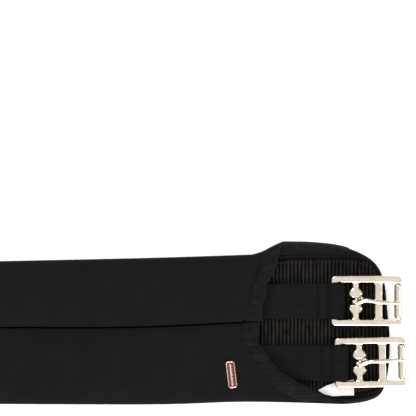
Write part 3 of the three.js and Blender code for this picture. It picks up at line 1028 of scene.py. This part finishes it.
def make_strap(name):
    """One strap with its fold; it stretches between the wing and its doubled end."""
    heel, out = heel_frame(name)
    stretch = low_high(f"elastic_strap_{name}")
    anchor_x = min(abs(stretch[0][0]), abs(stretch[1][0]))
    line = strap_line(anchor_x - abs(heel[0]))
    half = np.array([0.2, 0.4, 0.6, 0.8, 0.91, 0.955, 0.985, 1])
    across = STRAP_W / 2 * np.concatenate([-half[::-1], [0], half])
    along = np.gradient(line, axis=0)
    along /= np.linalg.norm(along, axis=1)[:, None]
    normal = np.column_stack([-along[:, 1], along[:, 0]])
    seed = 3.0 + STRAPS.index(name)
    from_end = np.linalg.norm(line - line[-1], axis=1)
    flatten = 0.3 + 0.7 * smooth(from_end / 2.2)
    loops = []
    for side in (1, -1):
        order = across if side > 0 else across[::-1]
        for y in order:
            near = min(1.0, (STRAP_W / 2 - abs(y)) / 0.9)
            thick = STRAP_THICK / 2 * (0.35 + 0.65 * math.sqrt(1 - (1 - near) ** 2)) * flatten
            if side > 0:
                thick = thick + [0.05 * drift(px, y, pz, 6, seed) for px, pz in line]
            wave = np.array([0.12 * drift(px, 0, pz, 9, seed + 4) for px, pz in line])
            wave *= abs(y) / (STRAP_W / 2)
            place = line - normal * (side * thick)[:, None]
            loops.append(np.column_stack([place[:, 0], y + wave, place[:, 1]]))
    verts = place_on_strap(np.vstack(loops), heel, out)
    strap = mesh_object(f"elastic_strap_piece_{name}", verts, band_faces(len(loops), len(line)), ELASTIC)
    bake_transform(strap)
    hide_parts(f"elastic_strap_{name}", f"strap_loop_{name}")
    make_fold_stitches(name, heel, out)
    make_anchor_stitches(name, heel, out, anchor_x)


def zigzag(x, z, half, step, swing):
    """The corners of a zigzag row of stitches across the strap."""
    count = int(2 * half / step)
    ys = np.linspace(-half, half, count + 1)
    return np.column_stack([x + swing * np.where(np.arange(count + 1) % 2, 1, -1), ys, np.full(count + 1, z)])


def place_on_strap(points, heel, out):
    """From the strap's own axes, with the heel bar at their origin, to the girth's."""
    return np.column_stack([points[:, 0] * out, points[:, 1] * out, points[:, 2]]) + heel


def thread_along(points, radius=0.2):
    """A zigzag thread whose corners dip into the fabric."""
    parts = []
    for a, b in zip(points[:-1], points[1:]):
        t = np.linspace(0, 1, 6)[:, None]
        line = a + (b - a) * t
        line[:, 2] += 0.12 * np.sin(math.pi * t[:, 0]) - 0.08
        parts.append(sweep(line, radius * np.array([0.6, 1, 1, 1, 1, 0.6]), 6))
    return join_parts(parts)


def make_fold_stitches(name, heel, out):
    top = -LOOP_R + STRAP_THICK * 1.5
    middle = -8.2 if name.startswith("upper") else -7.4
    lift = 0.35 * smooth((middle + 8.5) / 2) + 0.02
    row = zigzag(middle, top + lift, 11.4, 1.5, 0.75)
    seed = 40.0 + STRAPS.index(name)
    row[:, 0] += [0.9 * drift(0, y, 0, 5, seed) + 0.35 * drift(0, y, 0, 1.6, seed + 3) for y in row[:, 1]]
    thread = thread_along(place_on_strap(row, heel, out), 0.17)
    piece = mesh_object(f"fold_stitching_{name}", *thread, GREY_THREAD)
    settle(piece, f"strap_end_{name}", "thread", f"fold_stitch_{name}")


def make_anchor_stitches(name, heel, out, anchor_x):
    top = -LOOP_R + STRAP_THICK / 2
    start = anchor_x - abs(heel[0])
    rows = [zigzag(start + x, top, 11.2, 1.2, 0.8) for x in (3.5, 6.5)]
    threads = join_parts([thread_along(place_on_strap(row, heel, out)) for row in rows])
    piece = mesh_object(f"anchor_stitching_{name}", *threads, GREY_THREAD)
    settle(piece, "girth", "thread", f"anchor_stitch_{name}")


# ---------- buckles: X runs from the heel bar to the roller, Y across, Z up ----------
RAIL_OUT, RAIL_IN = 17.75, 12.9
RAIL_T = 4.7
FRAME_BACK, FRAME_FRONT = -2.5, 47.9
HEEL_CORNER, FRONT_CORNER = 2.9, 3.9
HEEL_R, PIN_R = 1.7, 1.5
BAR_X, NECK_R = 15.2, 1.1
CROSS_X, CROSS_W, CROSS_T = 31.15, 5.0, 3.2
PIN_X = 45.2
ROLLER_R, ROLLER_BORE, ROLLER_LENGTH = 3.0, 1.8, 23.4


def squircle(width, thick, power=3.2, sides=28):
    """A rounded rectangle's outline."""
    angle = np.linspace(0, 2 * math.pi, sides, endpoint=False)
    c, s = np.cos(angle), np.sin(angle)
    return np.column_stack([width / 2 * np.sign(c) * np.abs(c) ** (2 / power),
                            thick / 2 * np.sign(s) * np.abs(s) ** (2 / power)])


def flat_sweep(path, section, scales=None):
    """A section carried along a path that lies in the XY plane."""
    path = np.asarray(path, float)
    along = np.gradient(path, axis=0)
    along /= np.linalg.norm(along, axis=1)[:, None]
    rings = []
    for i, (point, direction) in enumerate(zip(path, along)):
        w, h = (1, 1) if scales is None else scales[i]
        side = np.array([direction[1], -direction[0], 0])
        rings.append(np.array([*point, 0]) + section[:, :1] * w * side + section[:, 1:] * h * (0, 0, 1))
    return tube(rings)


def corner(cx, cy, radius, start, stop, steps=7):
    """An arc round a centre, its angles in degrees."""
    a = np.radians(np.linspace(start, stop, steps))
    return np.column_stack([cx + radius * np.cos(a), cy + radius * np.sin(a)])


def rail_outline():
    """One side rail from above: hooked in at the heel, and round the front corner to the roller."""
    out, inn, back, front = RAIL_OUT, RAIL_IN, FRAME_BACK, FRAME_FRONT
    return np.vstack([
        [(back, 12.2)],
        corner(back + HEEL_CORNER, out - HEEL_CORNER, HEEL_CORNER, 180, 90),
        corner(front - FRONT_CORNER, out - FRONT_CORNER, FRONT_CORNER, 90, 0),
        [(front, 12.2), (front - 4.6, 12.2)],
        corner(front - 4.6 - 1.8, inn - 1.8, 1.8, 25, 90),
        corner(back + 5.4, inn - 1.4, 1.4, 90, 160),
        [(back + 4.0, 12.0)],
    ])


def rounded_plate(outline, half_thick, edge):
    """A flat plate with its rims rounded over."""
    loop = resample(outline, 0.45, closed=True)
    area = np.sum(loop[:, 0] * np.roll(loop[:, 1], -1) - np.roll(loop[:, 0], -1) * loop[:, 1])
    if area > 0:
        loop = loop[::-1]
    into = inward(loop)
    rings = []
    for angle in np.radians(np.linspace(-90, 90, 17)):
        inset = edge * (1 - math.cos(angle))
        z = (half_thick - edge * 0.75) * np.sign(angle) + edge * 0.75 * math.sin(angle)
        rings.append(np.column_stack([loop + into * inset, np.full(len(loop), z)]))
    return tube(rings)


def bar_scales(half):
    """Half-widths and half-thicknesses of the shaped centre bar across the buckle."""
    ys = np.linspace(2.3, half, 34)
    wide = [(2.2, 2.4), (3.0, 4.1), (4.5, 5.0), (5.9, 5.1), (7.4, 4.3), (8.9, 2.8), (10.2, 2.3), (11.5, 2.4),
            (13, 3.2), (14.6, 4.2)]
    deep = [(2.2, 1.3), (3.2, 1.95), (5.4, 2.35), (7.7, 2.0), (9.5, 1.6), (11.6, 1.6), (14.6, 2.0)]
    width = np.interp(ys, *spline(wide).T)
    thick = np.interp(ys, *spline(deep).T)
    return ys, width, thick


def frame_parts():
    """Both rails, the heel bar, the roller's pin, the centre bar with its neck, and the crossbar."""
    rail = rail_outline()
    parts = [rounded_plate(rail, RAIL_T / 2, 1.75), rounded_plate(rail * (1, -1), RAIL_T / 2, 1.75)]
    reach = 14.6
    for x, radius in ((0, HEEL_R), (PIN_X, PIN_R), (BAR_X, NECK_R)):
        length = 3.6 if x == BAR_X else reach
        parts.append(sweep([(x, y, 0) for y in np.linspace(-length, length, 20)], radius, 20))
    half = CROSS_W / 2
    ys = np.linspace(-reach, reach, 40)
    flare = half + 1.1 * smooth((np.abs(ys) - 10.4) / 3) ** 2
    cross = np.vstack([np.column_stack([CROSS_X + flare, ys]), np.column_stack([CROSS_X - flare, ys])[::-1]])
    parts.append(rounded_plate(cross, CROSS_T / 2, 0.75))
    disc = squircle(2, 2, 2.5)
    for sign in (1, -1):
        ys, width, thick = bar_scales(reach)
        path = np.column_stack([np.full(len(ys), BAR_X - 0.25), sign * ys])
        parts.append(flat_sweep(path, disc, np.column_stack([width, thick])))
    return parts


def make_frame_mesh():
    """The casting: its bars run together, then are melted into one skin and polished."""
    piece = mesh_object("frame_casting", *join_parts(frame_parts()), NICKEL)
    melt = piece.modifiers.new("melt", "REMESH")
    melt.mode = "VOXEL"
    melt.voxel_size = 0.34 * MM
    melt.use_smooth_shade = True
    polish = piece.modifiers.new("polish", "SMOOTH")
    polish.factor = 0.5
    polish.iterations = 4
    apply_modifiers(piece)
    shade(piece)
    mesh = piece.data
    bpy.data.objects.remove(piece)
    return mesh


def roller_mesh():
    """A tube round the pin, its rims turned over."""
    half, bevel = ROLLER_LENGTH / 2, 0.55
    outer = [(-half, ROLLER_BORE + 0.1), (-half, ROLLER_R - bevel), (-half + 0.2, ROLLER_R - 0.2),
             (-half + bevel, ROLLER_R), (-half + 1.4, ROLLER_R), (-half + 1.7, ROLLER_R - 0.08)]
    outer += [(y, ROLLER_R - 0.05) for y in np.linspace(-half + 2.4, half - 2.4, 14)]
    outer += [(-y, r) for y, r in outer[5::-1]]
    profile = outer + [(half - 0.2, ROLLER_BORE), (-half + 0.2, ROLLER_BORE)]
    sides = 48
    angle = np.linspace(0, 2 * math.pi, sides, endpoint=False)
    rings = [np.column_stack([PIN_X + r * np.cos(angle), np.full(sides, y), r * np.sin(angle)])
             for y, r in profile]
    return tube(rings, wrap=True)


TONGUE_R = 1.38
EYE_R = 2.6
TONGUE_TIP = 48.0


def tongue_mesh(swerve):
    """A bent wire: its short end, the eye round the centre bar, and the shaft over the roller.

    swerve is how far to the side its tip has been bent."""
    turn = np.linspace(0, 1, 26)
    angle = np.radians(-42 - 228 * turn)
    eye = np.column_stack([BAR_X + EYE_R * np.cos(angle), 1.6 - 2.9 * turn, EYE_R * np.sin(angle)])
    short_end = [(20.6, 1.75, 0.5), (19.6, 1.7, -0.2), (18.6, 1.65, -1.0)]
    over = ROLLER_R + TONGUE_R + 0.2
    shaft = spline([(BAR_X + 1.2, -1.25, EYE_R + 0.05), (18.6, -0.9, 2.75), (21.4, 0.1, 3.0),
                    (24.0, 0.45, 3.5), (28, 0.1, 3.75), (37, 0, 4.1), (PIN_X, 0, over),
                    (TONGUE_TIP - 0.9, 0, over - 0.1)], 8)
    path = resample(np.vstack([short_end, eye, shaft]), 0.45)
    path[:, 1] += swerve * np.where(path[:, 2] > 2, smooth((path[:, 0] - 18) / 26), 0)
    run = np.r_[0, np.cumsum(np.linalg.norm(np.diff(path, axis=0), axis=1))]
    left = run[-1] - run
    radius = TONGUE_R * (1 - 0.16 * smooth((7 - left) / 7)) * np.sqrt(np.clip(left / 1.0, 0.12, 1))
    radius *= np.sqrt(np.clip(run / 0.8, 0.2, 1))
    wire = sweep(path, radius, 18)
    pinch = [(20.6, -0.2, 2.7), (21.3, 0.05, 2.85), (22.1, 0.3, 3.0), (23.0, 0.4, 3.2), (23.7, 0.45, 3.35)]
    collar = sweep(pinch, [1.15, 1.55, 1.62, 1.5, 1.1], 18)
    return join_parts([wire, collar])


def local_frame(name):
    """The buckle's own axes at rest: origin on the heel bar, X towards the roller."""
    swing, spin = JOINTS[f"buckle_swing_{name}"], JOINTS[f"roller_spin_{name}"]
    origin = Vector(swing["pos_m"])
    out = (Vector(spin["pos_m"]) - origin).normalized()
    up = Vector((0, 0, 1))
    side = up.cross(out)
    return Matrix.Translation(origin) @ Matrix((out, side, up)).transposed().to_4x4()


def shared_mesh(name, verts, faces, sharp=None):
    """A metal mesh by itself, for several pieces to share."""
    piece = mesh_object(name, verts, faces, NICKEL, sharp)
    mesh = piece.data
    bpy.data.objects.remove(piece)
    return mesh


def make_buckles():
    casting = make_frame_mesh()
    roller = shared_mesh("roller_tube", *roller_mesh(), 35)
    for name in STRAPS:
        swerve = -1.5 if name.startswith("upper") else 1.3
        tongue = shared_mesh(f"tongue_wire_{name}", *tongue_mesh(swerve))
        for title, mesh, body, node in (("buckle_casting", casting, "buckle", "buckle_frame"),
                                        ("roller_tube", roller, "roller", "buckle_roller"),
                                        ("tongue_wire", tongue, "tongue", "buckle_tongue")):
            piece = new_object(f"{title}_{name}", mesh)
            piece.matrix_world = local_frame(name)
            settle(piece, f"{body}_{name}", "buckle_metal", f"{node}_{name}")


# ---------- badge and label ----------
BADGE_LENGTH, BADGE_WIDTH, BADGE_TILT = 19.0, 6.4, 7.0


def rounded_loop(width, length, radius, per_corner=7):
    """A rounded rectangle's outline, anticlockwise."""
    loop = []
    for cx, cy, start in ((1, 1, 0), (-1, 1, 90), (-1, -1, 180), (1, -1, 270)):
        centre = (cx * (width / 2 - radius), cy * (length / 2 - radius))
        loop.append(corner(*centre, radius, start, start + 90, per_corner))
    return np.vstack(loop)


def make_badge(wing_piece):
    """A plain copper plate with a raised rim and a row of small studs, held by two prongs."""
    low, high = low_high("badge_plate")
    cx, cy = (low[0] + high[0]) / 2, (low[1] + high[1]) / 2
    surface = ray_tree(wing_piece)
    base = drop_on(surface, cx, cy) + 0.15
    levels = [(0, 0.0), (0, 0.5), (0.12, 0.72), (0.35, 0.85), (0.62, 0.82), (0.8, 0.62), (1.0, 0.55)]
    rings = []
    for inset, z in levels:
        loop = rounded_loop(BADGE_WIDTH - 2 * inset, BADGE_LENGTH - 2 * inset, max(0.4, 1.7 - inset))
        rings.append(np.column_stack([loop, np.full(len(loop), z)]))
    parts = [tube(rings)]
    for y in np.linspace(-6.6, 6.6, 7):
        parts.append(sweep([(0, y, z) for z in (0.4, 0.62, 0.8, 0.9)], [1.15, 1.05, 0.75, 0.25], 16))
    for y in (-6, 6):
        parts.append(sweep([(0, y, z) for z in (0.3, -0.6, -1.6, -2.6)], [0.6, 0.6, 0.55, 0.2], 10))
    badge = mesh_object("copper_badge_plate", *join_parts(parts), COPPER, 50)
    badge.matrix_world = (Matrix.Translation(Vector((cx, cy, base)) * MM)
                          @ Matrix.Rotation(math.radians(BADGE_TILT), 4, "Z"))
    settle(badge, "girth", "badge", "badge_plate")


def make_label():
    """A satin label that lies on the webbing, its sewn corner tucked under the binding."""
    low, high = low_high("size_label")
    outline_top = [(263.8, -47.2), (270, -43.9), (277, -41.6), (288.9, -39.9)]
    outline_low = [(263.8, -47.8), (268, -50.2), (274, -51.7), (280, -51.2), (288.9, -51.0)]
    xs = np.linspace(low[0], high[0], 40)
    top = np.interp(xs, *np.array(outline_top).T)
    bottom = np.interp(xs, *np.array(outline_low).T)
    rows = []
    for t in np.linspace(0, 1, 14):
        y = bottom + (top - bottom) * t
        curl = 0.55 * smooth((xs - 266) / 20) * (0.4 + 0.6 * t)
        wave = np.array([0.18 * drift(x, yy, 0, 7, 1.5) for x, yy in zip(xs, y)])
        rows.append(np.column_stack([xs, y, low[2] + 0.1 + curl + wave * smooth((xs - 264) / 6)]))
    label = mesh_object("white_label", np.vstack(rows), grid_faces(14, 40), LABEL)
    face_up(label)
    thicken(label, 0.28, outwards=True)
    shade(label, 60)
    settle(label, "girth", "label", "size_label")


# ---------- assembly ----------
make_camera()
make_floor()
make_light()
make_pad()
make_webbing()
make_core()
for upper in (True, False):
    wing = Wing(upper)
    wing_piece = wing.make()
    for end in END_NAMES:
        Binding(wing, wing_piece, end).make()
make_badge(wing_piece)
make_label()
for strap_name in STRAPS:
    make_strap(strap_name)
make_buckles()

bpy.context.view_layer.update()
